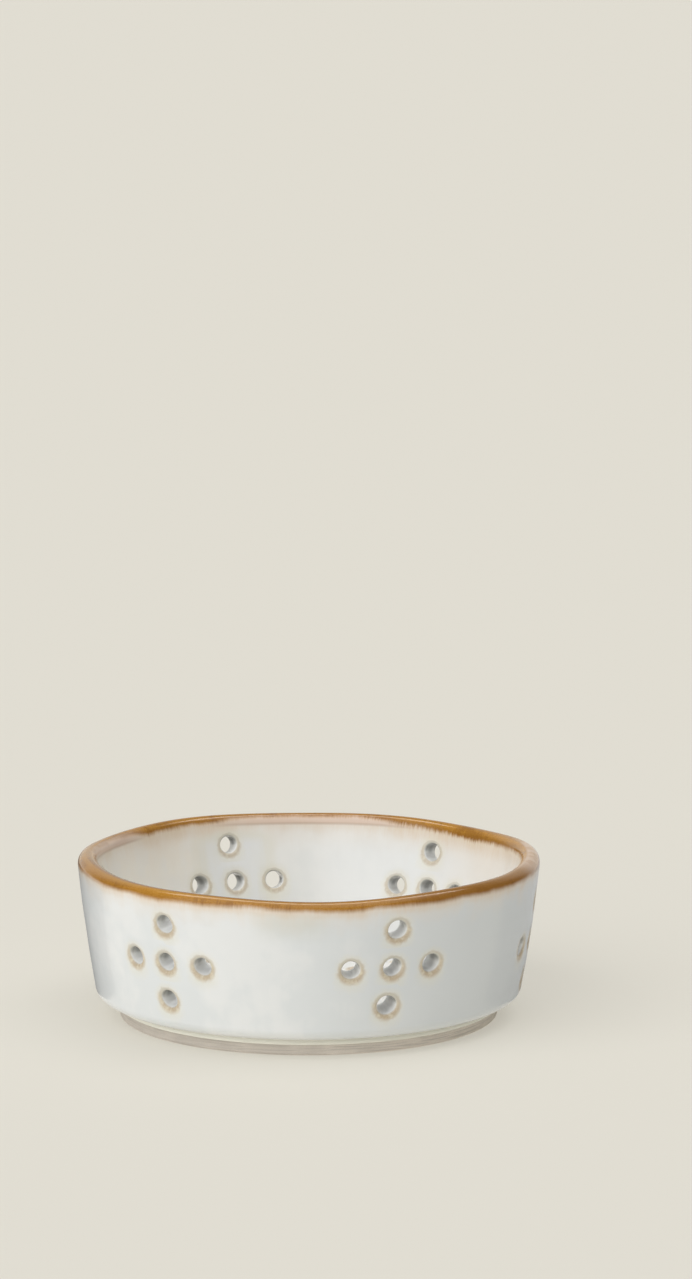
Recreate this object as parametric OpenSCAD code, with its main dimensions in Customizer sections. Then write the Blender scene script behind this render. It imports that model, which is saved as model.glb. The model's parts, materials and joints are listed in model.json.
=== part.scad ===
// Berry colander bowl: a small thrown stoneware bowl with drain holes in its floor and crosses of holes
// in its wall, glazed white inside and out, with an amber lip and a bare foot.
// The origin is the middle of the foot's underside, and +Z is up.

/* [Bowl] */
// Mean outside diameter of the bowl, just under its lip
rim_d = 152; // [140:1:180]
// Height from the table to the mean level of the lip
bowl_h = 52.5; // [46:0.5:70]
// How far the lip stands out past the shoulder, all round
wall_flare = 6.6; // [3:0.2:10]
// How far the shoulder stands out past the foot, all round
shoulder_out = 7.4; // [4:0.2:10]
// Rise of the shoulder's turn, from the foot to the wall
shoulder_rise = 4.5; // [3:0.1:6.5]
// Thickness of the glazed wall at its foot, just above the floor, from where it thins to the lip
wall_t = 9.5; // [8:0.1:11]
// Thickness of the glazed lip, which is a half round
lip_t = 6.4; // [5:0.1:8]

/* [Floor] */
// How far the edge of the flat floor lies inside the foot ring
floor_inset = 4.5; // [3:0.5:8]
// Thickness of the clay floor
floor_t = 3.5; // [2.5:0.1:5]
// Height of the rounded edge between the floor and the wall
floor_round_h = 7; // [5:0.5:9]

/* [Foot] */
// Height of the foot, up to the trimmed line under the wall
foot_h = 5.5; // [4.5:0.1:8]
// Width of the foot ring
foot_w = 7.5; // [5:0.1:9]
// Height of the glazed strip at the top of the foot, with bare clay below it
foot_glaze_h = 2.1; // [1.2:0.1:3]
// Worn edge of the foot
foot_edge = 0.9; // [0.4:0.1:1.4]

/* [Glaze] */
// Thickness of the glaze coats
glaze_t = 0.5; // [0.3:0.05:0.8]
// How far the amber glaze reaches down the outside, below the lip's half round
amber_outside_h = 0.6; // [0.3:0.1:2.5]
// How far it reaches down the inside
amber_inside_h = 0.5; // [0.3:0.1:2.5]
// Thickness of the glaze that lines the holes
lining_t = 0.4; // [0.25:0.05:0.6]

/* [Side holes] */
// Opening of each glazed side hole
side_hole_d = 5.8; // [4:0.1:6.8]
// From the amber glaze down to the middle of each cross's top hole
cross_top_gap = 6.9; // [5:0.1:9]
// From the floor up to the middle of each cross's bottom hole
cross_bottom_gap = 7.8; // [5.5:0.1:9]
// Distance from the middle hole to each hole beside it
cross_side = 13.6; // [10:0.1:16]

/* [Drain holes] */
// Opening of each glazed drain hole
drain_hole_d = 5.2; // [4:0.1:6.4]
// From the edge of the flat floor in to the outer ring of drain holes
drain_inset = 5; // [5:0.5:9]
// From the outer ring in to the inner ring
drain_step = 20; // [14:0.5:24]

/* [Hidden] */

// Sides of the turned shells
turns = 64;
// Sides of the bores
bore_sides = 32;
// How far a cut runs past what it cuts
overrun = 2;

// Unevenness of the lip, as [waves round the bowl, share, angle of a crest]
out_of_round_shares =
    [[1, 0.0030, 180], [2, 0.0120, 193], [3, 0.0080, -6], [4, 0.0030, 196], [5, 0.0050, 132]];
lip_wave_shares = [[2, 0.0095, 0], [3, 0.0065, -66], [6, 0.0060, 36]];
// Swell of the wall between shoulder and lip, as a share of its flare
swell_share = 0.25;

// Crosses of side holes, as [place, lean, rise, spread]: the first two are shares of a turn round the
// bowl, the rise is a share of the distance between the holes, and the spread one of the distance beside
cross_shares = [[0.1453, 0, 0, 1], [0.3106, 0.003, 0.04, 1.1], [0.475, 0.0015, 0, 1],
                [0.646, 0.0022, 0.02, 1], [0.8084, 0.0022, 0.05, 1], [0.9765, 0.003, -0.2, 1]];
// Drain holes of each ring, as [place, shift]: the first is a share of a turn, and the shift outward is
// a share of the gap to the next ring in, or to the floor's edge
inner_ring_shares = [[0.142, 0.07], [0.303, 0.07], [0.467, -0.05],
                     [0.644, 0.01], [0.817, -0.01], [0.994, -0.12]];
outer_ring_shares = [[0.125, -0.18], [0.244, 0.27], [0.367, 0.18], [0.497, -0.18],
                     [0.626, -0.27], [0.747, 0.36], [0.865, -0.18], [0.996, -0.09]];
// A full turn, in degrees
whole_turn = 360;

rim_r = rim_d / 2;
shoulder_r = rim_r - wall_flare;
foot_r = shoulder_r - shoulder_out;
foot_inner_r = foot_r - foot_w;
floor_flat_r = foot_inner_r - floor_inset;
outer_ring_r = floor_flat_r - drain_inset;
inner_ring_r = outer_ring_r - drain_step;
shoulder_h = foot_h + shoulder_rise;
glaze_line_h = foot_h - foot_glaze_h;
floor_z = foot_h + floor_t + glaze_t;
floor_edge_h = floor_z + floor_round_h;
lip_r = lip_t / 2;
lip_z = bowl_h - lip_r;
amber_outside_z = lip_z - amber_outside_h;
amber_inside_z = lip_z - amber_inside_h;
cross_top_h = amber_inside_z - cross_top_gap;
cross_bottom_h = floor_z + cross_bottom_gap;
cross_h = (cross_top_h + cross_bottom_h) / 2;
cross_step = (cross_top_h - cross_bottom_h) / 2;
side_bore_r = side_hole_d / 2 + lining_t;
drain_bore_r = drain_hole_d / 2 + lining_t;

white = [0.90, 0.92, 0.91];
amber = [0.70, 0.47, 0.20];
clay = [0.74, 0.68, 0.61];
tan = [0.75, 0.66, 0.56];

// Sum of waves at angle a, each as a share
function waves(table, a) = [for (w = table) w[1] * cos(w[0] * a - w[2])] * [for (w = table) 1];

// A point of the thrown profile, carried to where the uneven bowl has it
function lift(z) = max(0, (z - floor_z) / (bowl_h - floor_z));
function uneven(p, a) =
    let (t = lift(p[1]), r = p[0] * (1 + t * waves(out_of_round_shares, a)))
    [r * cos(a), r * sin(a), p[1] + t * t * bowl_h * waves(lip_wave_shares, a)];

// Radius of the glazed wall outside and inside at height z
function outer_r(z) =
    let (u = (z - shoulder_h) / (lip_z - shoulder_h))
    shoulder_r + (rim_r - shoulder_r) * (u + swell_share * u * (1 - u));
function thickness(z) = wall_t + (lip_t - wall_t) * (z - floor_edge_h) / (lip_z - floor_edge_h);
function inner_r(z) = outer_r(z) - thickness(z);
function flare(z) = atan((outer_r(z + overrun) - outer_r(z - overrun)) / (2 * overrun));

// Runs of the profile as [radius, height], at a depth below the glazed surface
function foot_turn(depth) =
    [for (a = [0 : 30 : 90])
        [foot_r - depth + (shoulder_r - foot_r) * sin(a),
         shoulder_h - (shoulder_h - foot_h - depth) * cos(a)]];
function outside(depth) =
    [for (t = [1 : 4]) let (z = shoulder_h + (amber_outside_z - shoulder_h) * t / 4)
        [outer_r(z) - depth, z]];
function lip(depth) =
    [for (a = [0 : 30 : 180])
        [rim_r - lip_r + (lip_r - depth) * cos(a), lip_z + (lip_r - depth) * sin(a)]];
function inside(depth) =
    [for (t = [0 : 3]) let (z = amber_inside_z - (amber_inside_z - floor_edge_h) * t / 3)
        [inner_r(z) + depth, z]];
function floor_turn(depth) =
    [for (a = [72 : -18 : 0])
        [floor_flat_r + (inner_r(floor_edge_h) + depth - floor_flat_r) * sin(a),
         floor_edge_h - (floor_edge_h - floor_z + depth) * cos(a)]];
function reversed(run) = [for (i = [len(run) - 1 : -1 : 0]) run[i]];

// Solid that an uneven turn of a profile makes, listed anticlockwise. A capped one is closed across
// the middle at its first and last points. Each facet is split from its low corner, so that
// neighbours meet face to face.
module turned(profile, capped = false) {
    n = len(profile);
    runs = capped ? n - 1 : n;
    polyhedron(
        points = [for (i = [0 : turns - 1]) for (p = profile) uneven(p, i * whole_turn / turns)],
        faces = [
            for (i = [0 : turns - 1]) for (j = [0 : runs - 1])
                let (here = i * n, next = ((i + 1) % turns) * n, k = (j + 1) % n,
                     rise = profile[k][1] - profile[j][1],
                     up = rise > 0 || (rise == 0 && profile[k][0] > profile[j][0]))
                for (f = up ? [[here + j, here + k, next + k], [here + j, next + k, next + j]]
                            : [[here + j, here + k, next + j], [here + k, next + k, next + j]]) f,
            if (capped) [for (i = [0 : turns - 1]) i * n],
            if (capped) [for (i = [turns - 1 : -1 : 0]) i * n + n - 1]
        ]);
}

// Flat plate that fills the turned shells at radius r
module plate(r, z, h) {
    translate([0, 0, z])
        linear_extrude(h)
            polygon([
                for (i = [0 : turns - 1]) let (a = i * whole_turn / turns)
                    r * [cos(a), sin(a)]]);
}

// Places its children on the axis of a side hole, +Z pointing out of the wall's mid-thickness
module at_side_hole(a, z) {
    p = uneven([(outer_r(z) + inner_r(z)) / 2, z], a);
    translate(p)
        rotate([0, 90 + flare(z), a])
            children();
}

module at_side_holes() {
    side_turn = whole_turn * cross_side / (2 * PI * outer_r(cross_h));
    for (c = cross_shares) {
        middle = c[0] * whole_turn;
        lean = c[1] * whole_turn;
        h = cross_h + c[2] * cross_step;
        for (s = [-1 : 1])
            at_side_hole(middle + s * side_turn * c[3], h)
                children();
        for (s = [-1, 1])
            at_side_hole(middle + s * lean, h + s * cross_step)
                children();
    }
}

module at_ring(shares, radius, gap) {
    for (h = shares)
        rotate([0, 0, h[0] * whole_turn])
            translate([radius + h[1] * gap, 0, 0])
                children();
}

module at_drain_holes() {
    children();
    at_ring(inner_ring_shares, inner_ring_r, drain_step)
        children();
    at_ring(outer_ring_shares, outer_ring_r, drain_inset)
        children();
}

module side_bores() {
    at_side_holes()
        cylinder(h = 2 * (wall_t + overrun), r = side_bore_r, center = true, $fn = bore_sides);
}

module drain_bores() {
    at_drain_holes()
        cylinder(h = shoulder_h + overrun, r = drain_bore_r, $fn = bore_sides);
}

module clay_wall() {
    color(clay)
        difference() {
            turned(concat(
                [[floor_flat_r, foot_h], [foot_r - glaze_t, foot_h]],
                foot_turn(glaze_t), outside(glaze_t), lip(glaze_t), inside(glaze_t),
                floor_turn(glaze_t)));
            side_bores();
        }
}

module clay_floor() {
    color(clay)
        difference() {
            plate(floor_flat_r, foot_h, floor_t);
            drain_bores();
        }
}

// Ring with worn lower edges, which are slanted alike inside and outside
module foot_ring() {
    bare_r = foot_r - glaze_t;
    slant = foot_edge + overrun;
    color(clay)
        intersection() {
            difference() {
                plate(bare_r, 0, foot_h);
                plate(foot_inner_r, -overrun, foot_h + 2 * overrun);
            }
            rotate_extrude($fn = 2 * turns)
                polygon([
                    [foot_inner_r + foot_edge, 0], [bare_r - foot_edge, 0],
                    [bare_r - foot_edge + slant, slant], [bare_r - foot_edge + slant, foot_h + overrun],
                    [foot_inner_r + foot_edge - slant, foot_h + overrun],
                    [foot_inner_r + foot_edge - slant, slant]]);
        }
}

module amber_rim_glaze() {
    color(amber)
        turned(concat(
            [[outer_r(amber_outside_z), amber_outside_z]],
            lip(0),
            [[inner_r(amber_inside_z), amber_inside_z],
             [inner_r(amber_inside_z) + glaze_t, amber_inside_z]],
            reversed(lip(glaze_t)),
            [[outer_r(amber_outside_z) - glaze_t, amber_outside_z]]));
}

module outer_white_glaze() {
    color(white)
        difference() {
            turned(concat(
                [[foot_r, glaze_line_h]], foot_turn(0), outside(0), reversed(outside(glaze_t)),
                reversed(foot_turn(glaze_t)),
                [[foot_r - glaze_t, foot_h], [foot_r - glaze_t, glaze_line_h]]));
            side_bores();
        }
}

module inner_white_glaze() {
    color(white)
        difference() {
            turned(concat(
                reversed(floor_turn(glaze_t)), reversed(inside(glaze_t)), inside(0),
                floor_turn(0)), capped = true);
            side_bores();
            drain_bores();
        }
}

module underside_glaze() {
    color(white)
        difference() {
            plate(foot_inner_r, foot_h - glaze_t, glaze_t);
            drain_bores();
        }
}

// The whole thickness of the glazed wall, which the side holes' linings reach through
module wall_section() {
    turned(concat(
        [[floor_flat_r, foot_h]], foot_turn(0), outside(0), inside(0), floor_turn(0)));
}

module side_hole_linings() {
    color(tan)
        intersection() {
            at_side_holes()
                difference() {
                    cylinder(h = 2 * (wall_t + overrun), r = side_bore_r, center = true, $fn = bore_sides);
                    cylinder(h = 2 * (wall_t + 2 * overrun), d = side_hole_d, center = true, $fn = bore_sides);
                }
            wall_section();
        }
}

module drain_hole_linings() {
    color(tan)
        translate([0, 0, foot_h - glaze_t])
            at_drain_holes()
                difference() {
                    cylinder(h = floor_t + 2 * glaze_t, r = drain_bore_r, $fn = bore_sides);
                    translate([0, 0, -overrun])
                        cylinder(h = floor_t + 2 * (glaze_t + overrun), d = drain_hole_d, $fn = bore_sides);
                }
}

clay_wall();
clay_floor();
foot_ring();
amber_rim_glaze();
outer_white_glaze();
inner_white_glaze();
underside_glaze();
side_hole_linings();
drain_hole_linings();
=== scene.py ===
"""Berry colander bowl: glazes, hole edges, bare foot and studio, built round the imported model."""

import json
import math

import bpy
import numpy as np
from bpy.props import FloatProperty, FloatVectorProperty, IntProperty, PointerProperty
from bpy.types import Operator, Panel, PropertyGroup
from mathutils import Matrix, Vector

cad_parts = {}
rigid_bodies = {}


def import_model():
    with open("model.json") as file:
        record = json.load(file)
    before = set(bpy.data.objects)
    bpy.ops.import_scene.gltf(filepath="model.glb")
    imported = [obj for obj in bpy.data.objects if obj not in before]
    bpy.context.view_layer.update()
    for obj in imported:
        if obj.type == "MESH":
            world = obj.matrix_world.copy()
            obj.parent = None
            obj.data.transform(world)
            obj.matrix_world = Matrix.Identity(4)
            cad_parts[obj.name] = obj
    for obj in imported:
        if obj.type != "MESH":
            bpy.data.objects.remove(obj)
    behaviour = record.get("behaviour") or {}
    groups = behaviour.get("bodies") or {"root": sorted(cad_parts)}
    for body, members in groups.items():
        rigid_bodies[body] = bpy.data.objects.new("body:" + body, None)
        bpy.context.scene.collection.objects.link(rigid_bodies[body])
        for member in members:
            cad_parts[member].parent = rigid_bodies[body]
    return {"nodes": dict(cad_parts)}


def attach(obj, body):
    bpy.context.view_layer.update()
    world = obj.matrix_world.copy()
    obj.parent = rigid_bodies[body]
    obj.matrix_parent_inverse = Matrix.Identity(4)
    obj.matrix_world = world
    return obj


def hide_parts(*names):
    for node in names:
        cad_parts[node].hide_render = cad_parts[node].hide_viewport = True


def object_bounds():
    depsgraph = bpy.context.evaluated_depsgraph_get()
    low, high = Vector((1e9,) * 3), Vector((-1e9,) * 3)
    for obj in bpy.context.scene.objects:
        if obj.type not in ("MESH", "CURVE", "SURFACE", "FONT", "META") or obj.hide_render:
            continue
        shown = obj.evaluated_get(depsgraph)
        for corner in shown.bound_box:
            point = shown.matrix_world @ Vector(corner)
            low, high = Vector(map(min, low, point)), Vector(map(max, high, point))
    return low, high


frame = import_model()
CAD_BOX = [list(corner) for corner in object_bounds()]

bl_info = {
    "name": "Berry Colander Bowl",
    "version": (1, 0, 0),
    "blender": (4, 5, 0),
    "location": "3D View > Sidebar > Berry Bowl",
    "description": "Builds the glazed skin, hole edges and bare foot of a stoneware berry bowl",
    "category": "Object",
}

MM = 0.001
ROOT = "root"

# Sizes of the thrown form in millimetres, as the part's source has them
RIM_R = 76.0
BOWL_H = 52.5
SHOULDER_R = 69.4
SHOULDER_H = 10.0
FOOT_R = 62.0
FOOT_H = 5.5
FOOT_INNER_R = 54.5
FOOT_EDGE = 0.9
GLAZE_LINE_H = 3.4
WALL_T = 9.5
LIP_T = 6.4
LIP_R = LIP_T / 2
LIP_Z = BOWL_H - LIP_R
FLOOR_R = 50.0
FLOOR_Z = 9.5
FLOOR_EDGE_H = 16.5
SWELL = 0.25
GLAZE_T = 0.5
LINING_T = 0.4
AMBER_OUTSIDE_Z = 48.7
AMBER_INSIDE_Z = 48.8
CROSS_H = 29.6
CROSS_STEP = 12.3
CROSS_SIDE = 13.6
SIDE_HOLE_R = 2.9
DRAIN_HOLE_R = 2.6
OUTER_RING_R = 45.0
INNER_RING_R = 25.0
DRAIN_INSET = 5.0
DRAIN_STEP = 20.0
TURN = 2 * math.pi
# Radius that places are carried out to before they are painted, and a distance beyond every hole
RUN_R = 75.0
FAR = 60.0

# Unevenness of the lip as (waves round the bowl, share, angle of a crest in degrees)
OUT_OF_ROUND = ((1, 0.0030, 180), (2, 0.0120, 193), (3, 0.0080, -6), (4, 0.0030, 196), (5, 0.0050, 132))
LIP_WAVES = ((2, 0.0095, 0), (3, 0.0065, -66), (6, 0.0060, 36))
# Crosses of side holes as (share of a turn, lean, rise, spread)
CROSSES = (
    (0.1453, 0, 0, 1),
    (0.3106, 0.003, 0.04, 1.1),
    (0.475, 0.0015, 0, 1),
    (0.646, 0.0022, 0.02, 1),
    (0.8084, 0.0022, 0.05, 1),
    (0.9765, 0.003, -0.2, 1),
)
# The one wider side hole as (cross, hole) with its width, and the range of the others' widths
WIDER_HOLE, WIDER_BY = (4, 3), 1.09
HOLE_WIDTHS = (0.98, 1.02)
# Drain holes of each ring as (share of a turn, shift outward as a share of the gap)
INNER_RING = (
    (0.142, 0.07),
    (0.303, 0.07),
    (0.467, -0.05),
    (0.644, 0.01),
    (0.817, -0.01),
    (0.994, -0.12),
)
OUTER_RING = (
    (0.125, -0.18),
    (0.244, 0.27),
    (0.367, 0.18),
    (0.497, -0.18),
    (0.626, -0.27),
    (0.747, 0.36),
    (0.865, -0.18),
    (0.996, -0.09),
)

# Names of the pieces, each with the node that it stands for and its material slot
COATS = {
    "amber_rim_coat": ("amber_rim_glaze", "amber_glaze"),
    "outer_white_coat": ("outer_white_glaze", "white_glaze"),
    "inner_white_coat": ("inner_white_glaze", "white_glaze"),
    "underside_coat": ("underside_glaze", "white_glaze"),
    "side_hole_glaze": ("side_hole_linings", "hole_glaze"),
    "drain_hole_glaze": ("drain_hole_linings", "hole_glaze"),
}
SIDE_OWNERS = ("outer_white_coat", "side_hole_glaze", "inner_white_coat")
DRAIN_OWNERS = ("underside_coat", "drain_hole_glaze", "inner_white_coat")
# Marks on the skin's points that the materials read
RUN, REACH = "glaze_run", "hole_reach"


# Settings


def metres(name, description, default):
    """A length property."""
    return FloatProperty(name=name, description=description, default=default, unit="LENGTH")


def fraction(name, description, default):
    """A property between none and all."""
    return FloatProperty(
        name=name, description=description, default=default, min=0, max=1, subtype="FACTOR"
    )


def brightness(name, description, default):
    """The strength of a light."""
    return FloatProperty(name=name, description=description, default=default, min=0)


def tint(name, description, default):
    """A colour property, in linear values."""
    return FloatVectorProperty(
        name=name, description=description, default=default, size=3, min=0, max=1, subtype="COLOR"
    )


class BowlShape(PropertyGroup):
    """How finely and how softly the skin is modelled."""

    columns: IntProperty(
        name="Columns",
        description="Steps round the wall, a multiple of 16",
        default=384,
        min=96,
        max=768,
        step=16,
    )
    edge: metres("Hole edge", "Radius of the melted edge of each side hole, outside", 0.0010)
    edge_inside: metres("Inner hole edge", "The same inside, and for the drain holes' edges", 0.0008)
    dimple: metres("Dimple", "Depth of the soft hollow round each hole", 0.00012)
    throwing: metres("Throwing rings", "Depth of the rings that the thrower's fingers left", 0.00005)
    hole_wobble: fraction("Hole wobble", "How far each hole is from round", 0.025)


class GlazeLook(PropertyGroup):
    """Colours and gloss of the glazes and the clay."""

    white: tint("White", "Glossy white glaze", (0.80, 0.815, 0.815))
    cool: tint("Cool white", "White glaze where it is thick", (0.725, 0.755, 0.765))
    # Deep also paints shade on the right of the outside and in the floor's edge
    deep: tint("Deep white", "White glaze on the side where it is thickest", (0.675, 0.705, 0.715))
    # Warm is pale, and also paints light on the shaded left of the inside
    warm: tint("Warm white", "White glaze of the inside", (0.92, 0.865, 0.75))
    amber: tint("Amber", "Middle of the amber lip", (0.46, 0.210, 0.020))
    # Dark amber also paints shade on the right, front and left of the lip's outside
    amber_dark: tint("Dark amber", "Amber where it pools", (0.235, 0.095, 0.015))
    # Pale amber also paints the highlight band on the outside of the lip
    amber_pale: tint("Pale amber", "Amber specks", (0.55, 0.285, 0.055))
    haze: tint("Haze", "Tan haze next to the amber", (0.71, 0.525, 0.33))
    blush: tint("Blush", "Pink haze farther down", (0.81, 0.71, 0.60))
    clear: tint("Clear", "Lip where the amber is thin", (0.70, 0.535, 0.43))
    tan: tint("Tan", "Glaze that breaks on the hole edges", (0.52, 0.42, 0.29))
    cream: tint("Cream", "Thin runs near the holes", (0.78, 0.74, 0.60))
    drab: tint("Drab", "Faint smear under the amber at the front", (0.58, 0.58, 0.49))
    # Thin also paints shade at the top of each bore, on the upper side of each hole's edge and in the
    # foot's groove
    thin: tint("Thin glaze", "Thin glaze at the top of each bore", (0.42, 0.415, 0.385))
    # The pool tint also paints light at the bottom of each bore
    pool: tint("Pool", "Glaze that pooled at the bottom of each bore", (0.95, 0.96, 0.95))
    # The strip's paleness is painted light in the shade under the wall
    strip: tint("Foot strip", "Thick glaze of the strip on the foot", (0.90, 0.89, 0.80))
    clay: tint("Clay", "Bare stoneware of the foot", (0.66, 0.605, 0.54))
    gloss: fraction("Roughness", "Roughness of the glazes", 0.16)


class StageLook(PropertyGroup):
    """Floor, light and camera."""

    paper: tint("Paper", "Colour of the background", (0.752, 0.723, 0.644))
    floor: tint("Floor", "Colour of the floor as the camera sees it", (0.389, 0.375, 0.334))
    bounce: tint("Bounce", "Colour of the floor as it lights the foot from below", (0.52, 0.505, 0.47))
    glow: fraction("Glow", "Share of the floor's light that comes from within it", 0.50)
    sky: brightness("Sky", "Strength of the plain light from all round", 0.26)
    top: brightness("Top", "Strength of the plain light from above", 0.38)
    key: brightness("Key", "Strength of the large soft light on the left", 1.95)
    fill: brightness("Fill", "Strength of the soft light high on the right", 1.45)
    distance: metres("Distance", "From the camera to the middle of the bowl", 1.5)
    elevation: FloatProperty(
        name="Elevation",
        description="Of the camera above the horizon",
        default=math.radians(12.08),
        unit="ROTATION",
    )


# Thrown form


def waves(table, a):
    """Sum of waves at angle a in radians, each as a share."""
    return sum(share * np.cos(k * a - math.radians(crest)) for k, share, crest in table)


def place(r, z, a):
    """A point of the thrown profile, carried to where the uneven bowl has it."""
    lift = np.clip((z - FLOOR_Z) / (BOWL_H - FLOOR_Z), 0, None)
    r = r * (1 + lift * waves(OUT_OF_ROUND, a))
    z = z + lift * lift * BOWL_H * waves(LIP_WAVES, a)
    return np.stack([r * np.cos(a), r * np.sin(a), z], -1)


def outer_r(z):
    """Radius of the wall outside, which flares with a slight swell."""
    u = (z - SHOULDER_H) / (LIP_Z - SHOULDER_H)
    return SHOULDER_R + (RIM_R - SHOULDER_R) * (u + SWELL * u * (1 - u))


def inner_r(z):
    """Radius of the wall inside, which thins towards the lip."""
    return outer_r(z) - WALL_T - (LIP_T - WALL_T) * (z - FLOOR_EDGE_H) / (LIP_Z - FLOOR_EDGE_H)


def flare(z):
    """Slope of the wall from the vertical, in radians."""
    return math.atan((outer_r(z + 2) - outer_r(z - 2)) / 4)


def arc(first, last, steps):
    """Cosines and sines of evenly spaced angles in degrees."""
    t = np.radians(np.linspace(first, last, steps))
    return np.cos(t), np.sin(t)


class Path:
    """A profile of the bowl as radius and height, by the distance along it from the lip's crest."""

    # Step along the profile, softness of its corners, and the height below which they are crisp
    FINE = 0.05
    WALL_SOFT, FOOT_SOFT = 0.65, 0.12
    SOFT_H = 8.5

    def __init__(self, points, zero, soften, drop):
        points = np.array(points, float)
        length = np.concatenate([[0], np.cumsum(np.hypot(*np.diff(points, axis=0).T))])
        self.s = np.arange(0, length[-1], self.FINE)
        r, z = (np.interp(self.s, length, points[:, k]) for k in (0, 1))
        if soften:
            r, z = (self.softened(v, z) for v in (r, z))
        self.r, self.z = r, z
        self.s -= zero(self.r, self.z, self.s)
        self.drop = drop

    def softened(self, value, height):
        """Rounds the corners of the wall by a fraction of a millimetre, and leaves the foot crisp."""
        reach = int(3 / self.FINE)
        t = np.arange(-reach, reach + 1) * self.FINE
        before = 2 * value[0] - value[reach:0:-1]
        after = 2 * value[-1] - value[-2 : -reach - 2 : -1]
        padded = np.concatenate([before, value, after])
        made = []
        for width in (self.WALL_SOFT, self.FOOT_SOFT):
            bell = np.exp(-((t / width) ** 2) / 2)
            made.append(np.convolve(padded, bell / bell.sum(), "valid"))
        crisp = np.clip((self.SOFT_H - height) / 2, 0, 1)
        return made[0] * (1 - crisp) + made[1] * crisp

    def at(self, a, s):
        return place(np.interp(s, self.s, self.r), np.interp(s, self.s, self.z), a)

    def s_at(self, z, side):
        """Distance at which the profile has a height, on the inner (-1) or outer (1) side."""
        here = self.s * side > 0
        return float(self.s[here][np.argmin(np.abs(self.z[here] - z))])


def skin_path():
    """From the middle of the floor out, up the inside, over the lip and down to the glaze line."""
    c, s = arc(0, 90, 60)
    turn_r = float(inner_r(np.float64(FLOOR_EDGE_H)))
    points = [(r, FLOOR_Z) for r in np.linspace(0, FLOOR_R, 50, endpoint=False)]
    points += list(zip(FLOOR_R + (turn_r - FLOOR_R) * s, FLOOR_EDGE_H - (FLOOR_EDGE_H - FLOOR_Z) * c))
    points += [(inner_r(z), z) for z in np.linspace(FLOOR_EDGE_H, LIP_Z, 60)[1:-1]]
    c, s = arc(180, 0, 80)
    points += list(zip(RIM_R - LIP_R + LIP_R * c, LIP_Z + LIP_R * s))
    points += [(outer_r(z), z) for z in np.linspace(LIP_Z, SHOULDER_H, 80)[1:-1]]
    c, s = arc(90, 4, 50)
    points += list(zip(FOOT_R + (SHOULDER_R - FOOT_R) * s, SHOULDER_H - (SHOULDER_H - FOOT_H) * c))
    # The trimmed line under the wall, then the glazed strip and its melted lower edge
    groove = ((0.1, 0.02), (-0.28, 0.22), (-0.22, 0.5), (0, 0.85))
    points += [(FOOT_R + out, FOOT_H - down) for out, down in groove]
    points += [(FOOT_R + 0.02, GLAZE_LINE_H + 0.45)]
    c, s = arc(0, -80, 8)
    points += list(zip(FOOT_R - 0.43 + 0.45 * c, GLAZE_LINE_H + 0.43 + 0.42 * s))
    return Path(points, lambda r, z, s: s[np.argmax(z)], True, np.abs)


def under_path():
    """From the middle of the underside out, and down the inside of the foot. Distance is radius."""
    c, s = arc(90, 0, 12)
    points = [(0, FOOT_H - GLAZE_T), (FOOT_INNER_R - 1.6, FOOT_H - GLAZE_T)]
    points += list(zip(FOOT_INNER_R - 1.5 + 1.45 * c, FOOT_H - GLAZE_T - 1.45 + 1.45 * s))
    return Path(points, lambda r, z, s: 0, False, lambda s: FAR + s)


class Hole:
    """One glazed hole: a middle and an axis frame, u along the turn and w out of the front sheet."""

    def __init__(self, middle, u, v, w, radius, edges, rng, wobble, side):
        self.c, self.u, self.v, self.w = (np.array(x, float) for x in (middle, u, v, w))
        self.radius, self.edges, self.side = radius, edges, side
        self.bumps = [(k, wobble * rng.uniform(0.3, 1) / k, rng.uniform(0, TURN)) for k in (1, 2, 3)]

    def swell(self, theta):
        """Share by which the hole is wider at an angle."""
        return 1 + sum(share * np.cos(k * theta - phase) for k, share, phase in self.bumps)

    def polar(self, p):
        """Distance from the axis, angle round it and height along it."""
        d = p - self.c
        x, y, t = d @ self.u, d @ self.v, d @ self.w
        return np.hypot(x, y), np.arctan2(y, x), t


def side_hole_list(shape, rng):
    """The six crosses of holes in the wall."""
    holes = []
    edges = (shape.edge / MM, shape.edge_inside / MM)
    step = CROSS_SIDE / float(outer_r(np.float64(CROSS_H)))
    for number, (share, lean, rise, spread) in enumerate(CROSSES):
        middle, lean, h = share * TURN, lean * TURN, CROSS_H + rise * CROSS_STEP
        spots = [(middle - step * spread, h), (middle, h), (middle + step * spread, h)]
        spots += [(middle - lean, h - CROSS_STEP), (middle + lean, h + CROSS_STEP)]
        for k, (a, z) in enumerate(spots):
            tilt = flare(z)
            w = (math.cos(tilt) * math.cos(a), math.cos(tilt) * math.sin(a), -math.sin(tilt))
            u = (-math.sin(a), math.cos(a), 0)
            v = np.cross(w, u)
            p = place(np.float64((outer_r(z) + inner_r(z)) / 2), np.float64(z), a)
            wide = WIDER_BY if (number, k) == WIDER_HOLE else rng.uniform(*HOLE_WIDTHS)
            holes.append(Hole(p, u, v, w, SIDE_HOLE_R * wide, edges, rng, shape.hole_wobble, True))
    return holes


def drain_hole_list(shape, rng):
    """The holes of the floor's two rings. The middle one is part of the turned rows."""
    holes = []
    edges = (shape.edge_inside / MM,) * 2
    spots = [(s, INNER_RING_R + x * DRAIN_STEP) for s, x in INNER_RING]
    spots += [(s, OUTER_RING_R + x * DRAIN_INSET) for s, x in OUTER_RING]
    for share, r in spots:
        a = share * TURN
        middle = (r * math.cos(a), r * math.sin(a), (FLOOR_Z + FOOT_H - GLAZE_T) / 2)
        u, v = (-math.sin(a), math.cos(a), 0), (math.cos(a), math.sin(a), 0)
        radius = DRAIN_HOLE_R * rng.uniform(*HOLE_WIDTHS)
        holes.append(Hole(middle, u, v, (0, 0, -1), radius, edges, rng, shape.hole_wobble, False))
    return holes


# Skin


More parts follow.
